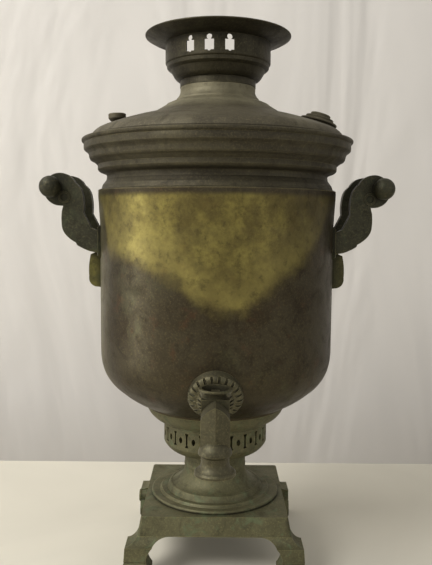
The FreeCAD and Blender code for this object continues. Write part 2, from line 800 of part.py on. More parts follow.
def lid_knob():
    """Turned knob: a thin foot that opens in a cone to a short flat-topped rim, on a long stem."""
    stem, wide, tall = S.knob_stem_radius, S.knob_radius, S.knob_height
    tip = -(S.lid_wall + S.nut_gap + S.nut_thickness + 0.8)
    body = turned("lid_knob", [
        (0, tip), (stem, tip), (stem, 0), (S.knob_foot_radius - 0.5, 0), (S.knob_foot_radius - 0.5, 0.8),
        (stem + 0.4, 1.6), (wide - 0.5, tall - 5), (wide, tall - 4.2), (wide, tall - 0.6), (wide - 0.6, tall),
        (0, tall),
    ])
    place(body, -S.knob_reach, 0, KNOB_Z, Vector(0, 1, 0), -S.knob_tilt)
    return body


def nut(label, bore, across, thickness):
    """Hexagonal nut about the vertical axis, its top at nought."""
    body = new_body(label)
    half, side = across / 2, across / 2 / math.sqrt(3)
    pad(body, "hexagon", "XY_Plane", [
        path([(-side, -half), (side, -half), (side * 2, 0), (side, half), (-side, half), (-side * 2, 0)]),
        disc(0, 0, bore),
    ], thickness, back=True)
    return body


def lid_knob_nut():
    body = nut("lid_knob_nut", S.knob_stem_radius, S.knob_stem_radius * 3.2, S.nut_thickness)
    lean = math.radians(S.knob_tilt.number)
    drop = S.lid_wall + S.nut_gap
    place(body, -S.knob_reach + drop * math.sin(lean), 0, KNOB_Z - drop * math.cos(lean), Vector(0, 1, 0),
          -S.knob_tilt)
    return body


def vent_seat():
    """Flanged tube through the dome that the vent cap closes."""
    bore = S.vent_bore
    outer, flange = bore + S.vent_seat_wall, S.vent_radius - 2
    body = turned("vent_seat", [
        (bore, -S.vent_seat_length), (outer, -S.vent_seat_length), (outer, 0), (flange, 0), (flange, S.vent_flange),
        (bore, S.vent_flange),
    ])
    place(body, S.vent_reach, 0, VENT_Z, Vector(0, 1, 0), S.vent_tilt)
    return body


def vent_seat_nut():
    body = nut("vent_seat_nut", S.vent_bore + S.vent_seat_wall, S.vent_radius * 1.3, S.nut_thickness)
    lean = math.radians(S.vent_tilt.number)
    drop = S.lid_wall + S.nut_gap
    place(body, S.vent_reach - drop * math.sin(lean), 0, VENT_Z - drop * math.cos(lean), Vector(0, 1, 0),
          S.vent_tilt)
    return body


def vent_cap():
    """Three-stepped cap with a plug that drops into the seat."""
    wide, tall, low = S.vent_radius, S.vent_height, S.vent_flange
    plug = S.vent_bore - S.fit_clearance
    body = turned("vent_cap", [
        (0, low - 4), (plug, low - 4), (plug, low), (wide - 0.8, low), (wide, low + 0.8, 0.5), (wide - 0.8, low + 2.6),
        (wide * 0.76, low + 3), (wide * 0.76, low + 4.6, 0.5), (wide * 0.7, low + 5.4), (wide * 0.54, low + 5.6),
        (wide * 0.54, low + tall - 1.2, 0.4), (wide * 0.48, low + tall - 0.4, 0.2), (wide * 0.1, low + tall),
        (0, low + tall),
    ])
    place(body, S.vent_reach, 0, VENT_Z, Vector(0, 1, 0), S.vent_tilt)
    return body


def teapot_stand():
    """Pierced cup on the chimney: a socket under it, a band with keyhole windows and a spreading brim."""
    low, top, wall, gap = LID_TOP + S.fit_clearance, STAND_TOP, S.stand_wall, S.fit_clearance
    socket, ledge = S.chimney_radius + gap, S.chimney_radius - S.chimney_wall + gap
    wide, rim = S.stand_radius, S.stand_rim_radius
    neck, foot = S.lid_neck_radius + S.fit_clearance, low + S.stand_skirt
    band, brim = LID_TOP + S.stand_foot_rise, top - S.stand_brim_rise
    body = turned("teapot_stand", [
        (socket, low), (neck, low), (neck, foot), (neck + 0.4, foot, 0.8), (wide - 7.3, foot + 4.6),
        (wide - 4.7, foot + 9, 0.3), (wide - 1.5, foot + 11.2), (wide - 1.2, band - 1.6, 0.3), (wide, band), (wide, brim, 0.8),
        (rim, top - 1.4, 0.5), (rim, top), (rim - wall, top, -0.8), (wide - wall, brim + 1.2),
        (wide - wall, band + 1.2), (wide - 4.2, band - 2), (wide - 8, band - 5.4), (ledge, CHIMNEY_TOP + wall),
        (ledge, CHIMNEY_TOP), (socket, CHIMNEY_TOP),
    ])
    middle = top - S.window_drop
    half_wide, half_tall = S.window_width / 2, S.window_height / 2
    knob = S.window_knob_width / 2
    window = [
        (-half_wide, middle - half_tall), (-knob, middle - half_tall, S.window_tab_depth), (knob, middle - half_tall),
        (half_wide, middle - half_tall), (half_wide, middle + half_tall),
        (knob, middle + half_tall, S.window_knob_depth), (-knob, middle + half_tall), (-half_wide, middle + half_tall),
    ]
    for i in (-1, 0, 1):
        cut = pad(body, f"window_{i + 2}", "XZ_Plane", [path(window)], wide + 8,
                  turned_plane(S.window_centre + S.window_angle * i), kind="Pocket", back=True)
        repeat(body, cut, 3)
    return body


def handle_bracket(label, angle):
    """One casting per side: curved root plate with a hanging tongue, and two scrolled arms with eyes for the rod."""
    body = new_body(label)
    shell, z, reach = S.vessel_radius, GRIP_Z, S.grip_reach
    outer = shell + S.root_thickness
    plate = turn(body, [
        (shell, z - S.root_bottom_drop), (outer, z - S.root_bottom_drop + 2), (outer, z - S.root_top_drop - 2),
        (shell, z - S.root_top_drop),
    ], name="plate")
    low, thick = z - S.tongue_drop, S.tongue_thickness
    tongue = turn(body, [
        (shell, low), (shell + thick * 0.45, low + 0.6, 2.2), (shell + thick, low + 10, 0.8),
        (shell + thick - 1.6, low + 30), (shell, low + 34),
    ], name="tongue")
    for piece, spread in ((plate, S.root_angle), (tongue, S.tongue_angle)):
        piece.Angle = spread.number
        piece.setExpression("Angle", spread.formula)
        piece.Midplane = True
    foot = z - S.arm_foot_drop
    head = S.arm_head_radius
    across, up = reach - S.arm_head_inset, z - S.arm_head_drop
    arm = [
        (shell - 3, foot - 11.7), (shell + 6.1, foot - 10, 0.4), (shell + 17.6, foot - 4.6),
        (shell + 18.6, foot - 2.4, 0.5), (shell + 27.3, foot + 4.2, 0.5), (shell + 30.7, foot + 11.3, 0.4),
        (shell + 30.7, foot + 24.6), (across - head * 0.19, up - head * 0.98, head * 0.364),
        (across + head, up, head * 0.293), (across, up + head, head * 0.157),
        (across - head * 0.91, up + head * 0.42, 1.0), (shell + 13, z - 4.4, 0.8), (shell + 12, z - 22.4),
        (shell + 5.3, z - 35.4), (shell - 3, z - 39),
    ]
    curl = (reach - S.volute_inset, z - S.volute_drop)
    for name, side in (("near", -1), ("far", 1)):
        flat = S.arm_spread * side - S.arm_thickness / 2 * side
        limb = pad(body, f"{name}_arm", "XZ_Plane", [path(arm)], S.arm_thickness, lift(flat), back=side < 0)
        ring = pad(body, f"{name}_volute", "XZ_Plane", [
            disc(curl[0], curl[1], S.volute_radius), disc(curl[0], curl[1], S.volute_radius - S.volute_width),
        ], S.arm_thickness + S.relief, lift(flat), back=side < 0)
        for piece in (limb, ring):
            lift_sketch(piece.Profile[0], flat)
    trim = turn(body, [(0, z - 100), (shell, z - 100), (shell, z), (0, z)], "Groove", "trim")
    trim.Angle = 360
    pad(body, "rod_hole", "XZ_Plane", [disc(reach, z, S.grip_rod_radius)], S.arm_spread * 4, kind="Pocket", both=True)
    pad(body, "rivet_holes", "YZ_Plane", [
        disc(-S.rivet_spread, z - S.rivet_drop, S.rivet_radius), disc(S.rivet_spread, z - S.rivet_drop, S.rivet_radius),
    ], S.vessel_radius * 3, kind="Pocket", both=True)
    place(body, 0, 0, 0, Vector(0, 0, 1), angle)
    return body


def grip_parts(side, sign):
    """Barrel between the arms, the rod through it and a ball finial on each end of the rod."""
    reach, rod = S.grip_reach * sign, S.grip_rod_radius
    half = S.arm_spread - S.arm_thickness / 2 - S.grip_gap
    wide, end = S.grip_radius, S.grip_end_radius
    grip = turned(f"handle_grip_{side}", [
        (rod, -half), (end, -half), (end, 3 - half), (end - 1.2, 3.8 - half, wide - end + 1.2),
        (end - 1.2, half - 3.8), (end, half - 3), (end, half), (rod, half),
    ])
    place(grip, reach, 0, GRIP_Z, Vector(1, 0, 0), 90)
    outer = S.arm_spread + S.arm_thickness / 2
    tip = outer + S.finial_radius
    rod_body = turned(f"grip_rod_{side}", [(0, -tip), (rod, -tip), (rod, tip), (0, tip)])
    place(rod_body, reach, 0, GRIP_Z, Vector(1, 0, 0), 90)
    ball = S.finial_radius
    finial = turned(f"finial_form_{side}", [
        (rod, outer), (ball - 1.4, outer), (ball - 1.4, outer + 1.6), (ball - 2.6, outer + 2.6),
        (ball, outer + 8, 1.2), (ball * 0.55, outer + 15.4, 0.4), (ball * 0.15, outer + 16.8), (0, outer + 16.8),
        (0, tip), (rod, tip),
    ])
    place(finial, reach, 0, GRIP_Z, Vector(1, 0, 0), 90)
    flip = Placement(Vector(reach.number * 2, 0, 0), Rotation(Vector(0, 0, 1), 180))
    group(f"handle_finials_{side}", finial, [Placement(), flip])


def handle_rivets(side, sign):
    """Two rivets per bracket, headed on both sides of the root plate and the shell."""
    shell, head, rise = S.vessel_radius, S.rivet_head_radius, S.rivet_head_height
    inner, outer = shell - S.vessel_wall, shell + S.root_thickness
    rivet = turned(f"rivet_form_{side}", [
        (0, inner - rise), (head * 0.7, inner - rise, 0.5), (head, inner - 1.4), (head, inner - S.rivet_seat),
        (S.rivet_radius, inner - S.rivet_seat), (S.rivet_radius, outer), (head, outer), (head, outer + 0.4, 0.6),
        (head * 0.5, outer + rise), (0, outer + rise),
    ])
    place(rivet, 0, S.rivet_spread, GRIP_Z - S.rivet_drop, Vector(0, 1, 0), 90 * sign)
    group(f"handle_rivets_{side}", rivet, [Placement(), Placement(Vector(0, -2 * S.rivet_spread.number, 0), Rotation())])


def tap_body():
    """Cast tap: tail through the vessel wall, upright tapered barrel with a cup lip, and a faceted spout in front."""
    body = new_body("tap_body")
    low, high, lip = -S.barrel_drop, S.barrel_rise, S.barrel_lip_radius
    turn(body, [
        (0, low), (S.barrel_radius, low), (S.barrel_flare, high - 5, -0.2), (lip, high - 1.6), (lip, high - 0.4),
        (lip - 0.6, high), (0, high),
    ], name="barrel")
    shoulder = S.tap_reach - S.tail_shoulder
    pad(body, "tail_root", "XZ_Plane", [disc(0, 0, S.tail_collar_radius)], shoulder, back=True)
    pad(body, "tail", "XZ_Plane", [disc(0, 0, S.tail_radius)], S.tap_reach - S.tail_end, back=True)
    half, reach = S.spout_half_width, -S.spout_reach
    corner = reach - S.spout_nose
    face = corner - S.spout_ridge
    back = -S.barrel_radius * 0.4
    spout = pad(body, "spout", "XY_Plane", [path([
        (-half, back), (-half, corner), (0, face), (half, corner), (half, back),
    ])], S.spout_peak - low, lift(low))
    lift_sketch(spout.Profile[0], low)
    cut_start = S.barrel_radius + S.spout_step
    for name, side in (("left_arch", -1), ("right_arch", 1)):
        edge = (half + 1) * side
        peak, foot = (0, S.spout_peak), (edge, -1.5)
        above = [(edge, S.spout_peak + 1), (0, S.spout_peak + 1)]
        arch = [peak + (-2.0,), foot] + above if side > 0 else [peak] + above[::-1] + [foot + (-2.0,)]
        cut = pad(body, name, "XZ_Plane", [path(arch)], S.spout_reach, lift(cut_start), kind="Pocket", back=True)
        lift_sketch(cut.Profile[0], cut_start)
    ring, top = -S.spout_collar_low, -S.spout_collar_high
    wide, waist, mouth = S.spout_collar_radius, S.spout_waist_radius, S.spout_mouth_radius
    bottom = -S.spout_mouth_drop
    turn(body, [
        (0, top), (2, top, -2.6), (wide, ring + 0.8), (wide - 0.4, ring), (waist + 0.2, ring - 1.4),
        (waist, ring - 5.2, 1.0), (mouth - 1, bottom + 3), (mouth, bottom + 1.8), (mouth, bottom), (0, bottom),
    ], name="mouth", offset=lift(S.spout_reach))
    bore = S.spout_bore
    crest = S.water_bore + S.bore_headroom
    drop = pad(body, "spout_bore", "XY_Plane", [disc(0, reach, bore)], S.spout_mouth_drop + crest, lift(crest),
               kind="Pocket")
    lift_sketch(drop.Profile[0], crest)
    pad(body, "water_way", "XZ_Plane", [disc(0, 0, S.water_bore)], S.tap_reach + S.spout_reach,
        lift(S.spout_reach), kind="Pocket")
    hole_top, hole_low = S.plug_radius + S.plug_clearance, S.plug_radius - S.plug_taper + S.plug_clearance
    cup = S.barrel_rise - S.cup_depth
    turn(body, [
        (0, low - 1), (hole_low, low - 1), (hole_low, low), (hole_top, cup), (lip - 2.6, cup), (lip - 2.2, high),
        (lip - 1.4, high + 1), (0, high + 1),
    ], "Groove", "plug_seat")
    place(body, 0, -S.tap_reach, S.tap_height)
    return body


def tap_plug():
    """Tapered plug with a cross bore; a square tang in the cup takes the key, a thread below takes washer and nut."""
    low, cup = -S.barrel_drop, S.barrel_rise - S.cup_depth
    wide, thin = S.plug_radius, S.plug_radius - S.plug_taper
    body = turned("tap_plug", [
        (0, low - S.plug_thread), (S.plug_thread_radius, low - S.plug_thread), (S.plug_thread_radius, low), (thin, low),
        (wide, cup), (wide, cup + 1), (0, cup + 1),
    ])
    side = S.tang_side / 2
    tang = pad(body, "tang", "XY_Plane", [slab((-side, -side), (side, side))], S.cup_depth - 2, lift(cup))
    lift_sketch(tang.Profile[0], cup)
    pad(body, "cross_bore", "YZ_Plane", [disc(0, 0, S.water_bore)], S.plug_radius * 4, kind="Pocket", both=True)
    place(body, 0, -S.tap_reach, S.tap_height)
    return body


def plug_fasteners():
    """Washer and nut that draw the plug down into its seat."""
    top = S.tap_height - S.barrel_drop - S.plug_clearance
    washer = turned("tap_plug_washer", [
        (S.plug_thread_radius, -S.washer_thickness), (S.washer_radius, -S.washer_thickness), (S.washer_radius, 0),
        (S.plug_thread_radius, 0),
    ])
    place(washer, 0, -S.tap_reach, top)
    ring = nut("tap_plug_nut", S.plug_thread_radius, S.washer_radius * 1.6, S.nut_thickness)
    place(ring, 0, -S.tap_reach, top - S.washer_thickness)


def tap_rosette():
    """Gadrooned two-stepped boss round the tap's tail, leaning back against the belly."""
    wide, dome, thick = S.rosette_radius, S.rosette_dome_radius, S.rosette_thickness
    hub = S.tail_collar_radius
    rim_level, dome_level = 0.6, 4.6
    form = turned("rosette_form", [
        (hub - 2, -14), (wide, -14), (wide, rim_level, 1.2), (dome + 1.4, dome_level - 0.4), (dome, dome_level, 1.8),
        (hub - 0.4, thick), (hub - 2, thick),
    ])
    for name, outer, low, inner, high, bulge in (
        ("dome_flute", dome, dome_level, hub - 0.4, thick, 1.8),
        ("rim_flute", wide, rim_level, dome + 1.4, dome_level - 0.4, 1.2),
    ):
        run, rise = (outer - inner).number, (size(high) - low).number
        chord = math.hypot(run, rise)
        crest_reach = (outer + inner).number / 2 + bulge * FLUTE_SHARE * rise / chord
        crest_level = (size(low) + high).number / 2 + bulge * FLUTE_SHARE * run / chord
        slope = Rotation(Vector(1, 0, 0), math.degrees(math.atan2(rise, run)))
        plane = Placement(Vector(0, crest_level, crest_reach), slope)
        flute = pad(form, name, "YZ_Plane", [disc(0, 0, S.flute_radius)], chord, plane, kind="Pocket", both=True)
        repeat(form, flute, S.rosette_flutes)
    place(form, 0, -S.rosette_reach, S.tap_height, Vector(1, 0, 0), 90 + S.rosette_tilt)
    vessel = turned("vessel_form", [(0, VESSEL_BOTTOM)] + vessel_outside() + [(0, VESSEL_TOP)])
    first = doc.addObject("Part::Cut", "rosette_on_vessel")
    first.Base, first.Tool = form, vessel
    tail = doc.addObject("Part::Cylinder", "tail_form")
    tail.setExpression("Radius", S.tail_collar_radius.formula)
    tail.setExpression("Height", S.tap_reach.formula)
    tail.Placement.Rotation = Rotation(Vector(1, 0, 0), 90)
    tail.setExpression("Placement.Base.z", S.tap_height.formula)
    tail.setExpression("Placement.Base.y", (-S.tail_end).formula)
    boss = doc.addObject("Part::Cut", "tap_rosette")
    boss.Label = "tap_rosette"
    boss.Base, boss.Tool = first, tail
    hidden.extend([form.Name, vessel.Name, first.Name])


def tail_fittings():
    """Sealing washer shaped to the inner wall, and the lock nut that draws the tap tight."""
    floor = VESSEL_BOTTOM + S.vessel_wall
    inner = turned("water_form", [(0, floor)] + backward(vessel_inside()) + [(0, VESSEL_TOP)])
    gasket_form = turned("gasket_form", [
        (S.tail_radius, 0), (S.lock_nut_radius, 0), (S.lock_nut_radius, 24), (S.tail_radius, 24),
    ])
    face = S.gasket_face
    place(gasket_form, 0, -face, S.tap_height, Vector(1, 0, 0), 90)
    gasket = doc.addObject("Part::Common", "tap_gasket")
    gasket.Label = "tap_gasket"
    gasket.Base, gasket.Tool = gasket_form, inner
    hidden.extend([inner.Name, gasket_form.Name])
    ring = nut("tap_lock_nut", S.tail_radius, S.lock_nut_radius * 1.9, S.lock_nut_thickness)
    place(ring, 0, -face, S.tap_height, Vector(1, 0, 0), 90)


def finish():
    """Checks every object and every sub-part's shape, then writes one file per sub-part."""
    doc.recompute()
    for thing in doc.Objects:
        if "Invalid" in thing.State or "Error" in thing.State:
            raise RuntimeError(f"{thing.Name} failed: {thing.State}")
    for thing in doc.Objects:
        top = thing.TypeId in ("PartDesign::Body", "Part::Feature", "Part::Cut", "Part::Common")
        if not top or thing.Name in hidden:
            continue
        shape = thing.Shape
        if shape.isNull() or not shape.isValid() or shape.Volume < 1:
            raise RuntimeError(f"{thing.Label} has no sound shape")
        shape.exportStep(f"parts/{thing.Label}.step")
        print(thing.Label, len(shape.Solids), round(shape.Volume), shape.BoundBox)


plinth()
spread = S.foot_spread
for label, across, depth, quarter in (
    ("foot_front_left", -spread, -spread, 180),
    ("foot_front_right", spread, -spread, -90),
    ("foot_rear_left", -spread, spread, 90),
    ("foot_rear_right", spread, spread, 0),
):
    foot(label, across, depth, quarter)
foot_screws()
side_stud()
neck()
air_gallery()
vessel_collar()
body_shell()
shoulder_ring()
crown_ring()
firebox_pipe()
fire_grate()
lid()
lid_knob()
lid_knob_nut()
vent_seat()
vent_seat_nut()
vent_cap()
teapot_stand()
for side, sign, angle in (("left", -1, 180), ("right", 1, 0)):
    handle_bracket(f"handle_bracket_{side}", angle)
    grip_parts(side, sign)
    handle_rivets(side, sign)
tap_body()
tap_plug()
plug_fasteners()
tap_rosette()
tail_fittings()
finish()
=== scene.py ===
import math

import bpy
from mathutils import Matrix, Vector

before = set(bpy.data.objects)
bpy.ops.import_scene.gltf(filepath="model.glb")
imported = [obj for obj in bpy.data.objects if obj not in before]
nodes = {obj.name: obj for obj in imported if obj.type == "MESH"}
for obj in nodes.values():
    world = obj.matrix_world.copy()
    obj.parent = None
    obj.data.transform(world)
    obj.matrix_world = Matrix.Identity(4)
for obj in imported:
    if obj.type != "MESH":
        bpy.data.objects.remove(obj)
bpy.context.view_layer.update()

# The photograph's frame in pixels, and the camera fitted to the round outlines
PHOTO_WIDTH = 432
FOCAL_PIXELS = 684.7
SENSOR = 36.0
EYE_SIDE = -0.0003
EYE_DISTANCE = 0.6303
EYE_HEIGHT = 0.307
PITCH_DOWN = math.radians(5.24)
ROLL = math.radians(0.45)

# The table and the wall behind it, in metres
TABLE_HALF_WIDTH = 1.6
TABLE_FRONT = -1.4
TABLE_REAR = 0.215
WALL_HALF_WIDTH = 3.0
WALL_GAP = 0.32
WALL_FOOT = -0.9
WALL_TOP = 2.2

WORLD_COLOUR = (1.0, 0.985, 0.965, 1.0)
WORLD_STRENGTH = 0.5

# Heights in metres: the lid's pale neck starts above one, the brackets' bright tongues end below the other
NECK_LOW = 0.4
NECK_BLEND = 0.008
TONGUE_TOP = 0.282
TONGUE_BLEND = 0.012

# The reach of the painted shade into corners, the patina's rubbed edges, and the depths of its dents and
# pits, in metres
CREVICE_SHADE_REACH = 0.012
EDGE_RADIUS = 0.0009
DENT_DEPTH = 0.0011
PIT_DEPTH = 0.00022

# The rubbed field on the vessel: heights in metres, and its lower edge as shares of the half turn from the
# vessel's left side to its right and of the field's rise
FIELD_LOW = 0.229
FIELD_RISE = 0.104
FIELD_TOP = 0.3275
FIELD_EDGE = [(0.0, 1.0), (0.13, 0.78), (0.19, 0.44), (0.3, 0.4), (0.4, 0.26), (0.47, 0.06), (0.53, 0.0),
              (0.6, 0.12), (0.68, 0.3), (0.78, 0.5), (0.86, 0.8), (1.0, 1.0)]

# Turns about the vessel's axis in radians, 0 at the front and negative to the left, over which a mask fades
FIELD_RIGHT_FADE = (0.15, 1.0)
# The painted light on the vessel's left flank fades out towards the front over the first and towards the
# rear over the second
FLANK_FRONT_FADE = (-1.3, -0.95)
FLANK_REAR_FADE = (-2.4, -1.7)

SMOOTH_ANGLE = math.radians(34)


def linear(red, green, blue):
    """Linear colour of 8-bit display values."""
    def channel(value):
        value /= 255
        return value / 12.92 if value <= 0.04045 else ((value + 0.055) / 1.055) ** 2.4
    return (channel(red), channel(green), channel(blue), 1.0)


VERDIGRIS = linear(98, 112, 82)
FIELD_DEEP = linear(106, 95, 50)
FIELD_BRIGHT = linear(142, 131, 70)
FIELD_SPECK = linear(92, 80, 42)
FIELD_RIM = linear(156, 144, 82)
# Painted light on the vessel's left flank, where the key lamp falls
FLANK_PAINTED_LIGHT = linear(112, 107, 82)
RED_OXIDE = linear(92, 60, 40)
GREEN_OXIDE = linear(84, 84, 60)
NECK_PALE = linear(128, 122, 98)
NECK_DULL = linear(104, 99, 78)
TONGUE_BRIGHT = linear(128, 122, 66)
TONGUE_DULL = linear(88, 84, 50)


class Tree:
    """Short calls for building one material's node tree."""

    def __init__(self, name):
        self.material = bpy.data.materials.new(name)
        self.material.use_nodes = True
        self.nodes = self.material.node_tree.nodes
        self.links = self.material.node_tree.links
        self.nodes.clear()
        self.shader = self.add("ShaderNodeBsdfPrincipled")
        output = self.add("ShaderNodeOutputMaterial")
        self.link(self.shader.outputs["BSDF"], output.inputs["Surface"])
        self.place = self.add("ShaderNodeTexCoord").outputs["Object"]

    def add(self, kind, **settings):
        node = self.nodes.new(kind)
        for key, value in settings.items():
            setattr(node, key, value)
        return node

    def link(self, source, target):
        self.links.new(source, target)

    def feed(self, socket, value):
        """Sets a socket to a constant or links it to an output."""
        if isinstance(value, bpy.types.NodeSocket):
            self.link(value, socket)
        else:
            socket.default_value = value

    def axes(self):
        """The three object coordinates, in metres."""
        parts = self.add("ShaderNodeSeparateXYZ")
        self.link(self.place, parts.inputs[0])
        return parts.outputs

    def math(self, operation, first, second=0.0, third=0.0):
        node = self.add("ShaderNodeMath", operation=operation)
        for socket, value in zip(node.inputs, (first, second, third)):
            self.feed(socket, value)
        return node.outputs[0]

    def times(self, first, second):
        return self.math("MULTIPLY", first, second)

    def mix(self, share, first, second):
        """The first colour, turning to the second as the share goes from 0 to 1."""
        node = self.add("ShaderNodeMix", data_type="RGBA")
        self.feed(node.inputs[0], share)
        self.feed(node.inputs[6], first)
        self.feed(node.inputs[7], second)
        return node.outputs[2]

    def noise(self, scale, detail=4.0, rough=0.55, stretch=(1, 1, 1), twist=0.0):
        mapping = self.add("ShaderNodeMapping")
        mapping.inputs["Scale"].default_value = stretch
        self.link(self.place, mapping.inputs["Vector"])
        node = self.add("ShaderNodeTexNoise")
        self.link(mapping.outputs[0], node.inputs["Vector"])
        node.inputs["Scale"].default_value = scale
        node.inputs["Detail"].default_value = detail
        node.inputs["Roughness"].default_value = rough
        node.inputs["Distortion"].default_value = twist
        return node.outputs["Fac"]

    def ramp(self, value, low, high, flip=False):
        """Smooth step of a value from low to high."""
        node = self.add("ShaderNodeMapRange", interpolation_type="SMOOTHSTEP")
        self.feed(node.inputs["Value"], value)
        node.inputs["From Min"].default_value = low
        node.inputs["From Max"].default_value = high
        node.inputs["To Min"].default_value = 1.0 if flip else 0.0
        node.inputs["To Max"].default_value = 0.0 if flip else 1.0
        return node.outputs[0]

    def bump(self, height, distance, strength=1.0, normal=None):
        node = self.add("ShaderNodeBump")
        self.feed(node.inputs["Height"], height)
        node.inputs["Distance"].default_value = distance
        node.inputs["Strength"].default_value = strength
        if normal is not None:
            self.link(normal, node.inputs["Normal"])
        return node.outputs[0]

    def crevice_shade(self, distance):
        """1 on open surface, falling towards 0 in corners, where it marks painted shade."""
        node = self.add("ShaderNodeAmbientOcclusion", samples=6)
        node.inputs["Distance"].default_value = distance
        return node.outputs["AO"]

    def edges(self, radius):
        """0 on flat surface, rising along sharp edges."""
        bevel = self.add("ShaderNodeBevel", samples=4)
        bevel.inputs["Radius"].default_value = radius
        geometry = self.add("ShaderNodeNewGeometry")
        dot = self.add("ShaderNodeVectorMath", operation="DOT_PRODUCT")
        self.link(bevel.outputs[0], dot.inputs[0])
        self.link(geometry.outputs["Normal"], dot.inputs[1])
        return self.ramp(dot.outputs["Value"], 0.84, 0.99, flip=True)


def aged_metal(name, tones, rough, metal, green=0.0, extra=None):
    """Oxidised brass: cloudy patina, dirty patches, painted shade in crevices, rubbed edges, fine pits, and
    verdigris where asked.

    The tones are the ground, its clouds, the worn spots and the dark tone for dirt and painted shade in
    corners, as 8-bit display values.
    """
    ground, cloudy, worn, grime_and_shade = (linear(*tone) for tone in tones)
    tree = Tree(name)
    clouds = tree.noise(18.0, 6.0, 0.62, twist=0.6)
    patches = tree.noise(46.0, 5.0, 0.6, twist=1.2)
    grain = tree.noise(620.0, 4.0, 0.7)
    colour = tree.mix(tree.ramp(clouds, 0.36, 0.66), ground, cloudy)
    colour = tree.mix(tree.times(tree.ramp(patches, 0.5, 0.72), 0.45), colour, grime_and_shade)
    if extra is not None:
        colour = extra(tree, colour)
    mottle = tree.noise(150.0, 5.0, 0.7)
    colour = tree.mix(tree.times(tree.ramp(mottle, 0.5, 0.7), 0.4), colour, grime_and_shade)
    colour = tree.mix(tree.times(tree.ramp(grain, 0.46, 0.78), 0.38), colour, worn)
    # Painted shade: corners and crevices are darkened towards the dark tone by ambient occlusion.
    unshaded_share = tree.ramp(tree.crevice_shade(CREVICE_SHADE_REACH), 0.25, 0.95)
    colour = tree.mix(unshaded_share, grime_and_shade, colour)
    if green > 0:
        spots = tree.noise(70.0, 8.0, 0.7, twist=0.8)
        share = tree.times(tree.ramp(spots, 0.52, 0.66), green)
        colour = tree.mix(share, colour, VERDIGRIS)
    rub = tree.times(tree.edges(EDGE_RADIUS), tree.ramp(patches, 0.3, 0.6))
    colour = tree.mix(tree.times(rub, 0.65), colour, worn)
    tree.link(colour, tree.shader.inputs["Base Color"])
    tree.shader.inputs["Metallic"].default_value = metal
    roughness = tree.math("ADD", rough - 0.1, tree.times(clouds, 0.2))
    roughness = tree.math("ADD", roughness, tree.times(tree.ramp(patches, 0.4, 0.7), 0.12))
    tree.link(roughness, tree.shader.inputs["Roughness"])
    dents = tree.bump(tree.noise(26.0, 3.0, 0.5), DENT_DEPTH, 0.5)
    pitted = tree.bump(tree.noise(300.0, 5.0, 0.7), PIT_DEPTH, 0.6, normal=dents)
    tree.link(pitted, tree.shader.inputs["Normal"])
    return tree.material


def worn_front_and_lit_flank(tree, colour):
    """The vessel's yellower rubbed field in front, painted light on its left flank, and its red and green
    spots.
    """
    across, depth, height = tree.axes()
    angle = tree.math("ARCTAN2", across, tree.times(depth, -1.0))
    curve = tree.add("ShaderNodeFloatCurve")
    turn = tree.math("MULTIPLY_ADD", angle, 1 / math.pi, 0.5)
    tree.link(turn, curve.inputs["Value"])
    edge = curve.mapping.curves[0]
    edge.points[0].location = FIELD_EDGE[0]
    edge.points[1].location = FIELD_EDGE[-1]
    for spot in FIELD_EDGE[1:-1]:
        edge.points.new(*spot)
    curve.mapping.update()
    lower = tree.math("MULTIPLY_ADD", curve.outputs[0], FIELD_RISE, FIELD_LOW)
    ragged = tree.math("MULTIPLY_ADD", tree.noise(40.0, 6.0, 0.65), 0.03, -0.015)
    above = tree.math("SUBTRACT", tree.math("ADD", height, ragged), lower)
    field = tree.ramp(above, -0.006, 0.014)
    top = tree.ramp(height, FIELD_TOP - 0.003, FIELD_TOP + 0.002, flip=True)
    mottle = tree.ramp(tree.noise(30.0, 7.0, 0.7), 0.36, 0.66)
    specks = tree.ramp(tree.noise(190.0, 4.0, 0.7), 0.42, 0.68)
    shade = tree.mix(mottle, FIELD_DEEP, FIELD_BRIGHT)
    shade = tree.mix(tree.times(specks, 0.5), shade, FIELD_SPECK)
    near_edge = tree.times(field, tree.ramp(above, 0.012, 0.05, flip=True))
    shade = tree.mix(tree.times(near_edge, 0.55), shade, FIELD_RIM)
    share = tree.times(tree.times(field, top), tree.math("MULTIPLY_ADD", mottle, 0.25, 0.66))
    share = tree.times(share, tree.math("MULTIPLY_ADD", tree.ramp(angle, *FIELD_RIGHT_FADE), -0.62, 1.0))
    # Painted light: the left flank, lit by the key lamp, is painted paler.
    flank = tree.times(tree.ramp(angle, *FLANK_FRONT_FADE, flip=True), tree.ramp(angle, *FLANK_REAR_FADE))
    flank = tree.times(flank, 0.75)
    colour = tree.mix(flank, colour, FLANK_PAINTED_LIGHT)
    reddish = tree.ramp(tree.noise(55.0, 6.0, 0.7), 0.56, 0.7)
    colour = tree.mix(tree.times(reddish, 0.35), colour, RED_OXIDE)
    greenish = tree.ramp(tree.noise(24.0, 7.0, 0.7, stretch=(1.0, 1.0, 0.6)), 0.55, 0.7)
    colour = tree.mix(tree.times(greenish, 0.4), colour, GREEN_OXIDE)
    return tree.mix(share, colour, shade)


def pale_neck(tree, colour):
    """The lid's neck, rubbed paler than its dome."""
    height = tree.axes()[2]
    share = tree.ramp(height, NECK_LOW, NECK_LOW + NECK_BLEND)
    worn = tree.mix(tree.ramp(tree.noise(60.0, 5.0, 0.65), 0.35, 0.7), NECK_PALE, NECK_DULL)
    return tree.mix(tree.times(share, 0.85), colour, worn)


def bright_tongue(tree, colour):
    """The brackets' hanging tongues, rubbed to yellow brass, the left one most."""
    across, _, height = tree.axes()
    low = tree.ramp(height, TONGUE_TOP - TONGUE_BLEND, TONGUE_TOP, flip=True)
    left = tree.math("MULTIPLY_ADD", tree.ramp(across, -0.05, 0.05), -0.55, 0.85)
    rubbed = tree.mix(tree.ramp(tree.noise(80.0, 5.0, 0.65), 0.35, 0.7), TONGUE_BRIGHT, TONGUE_DULL)
    return tree.mix(tree.times(low, left), colour, rubbed)


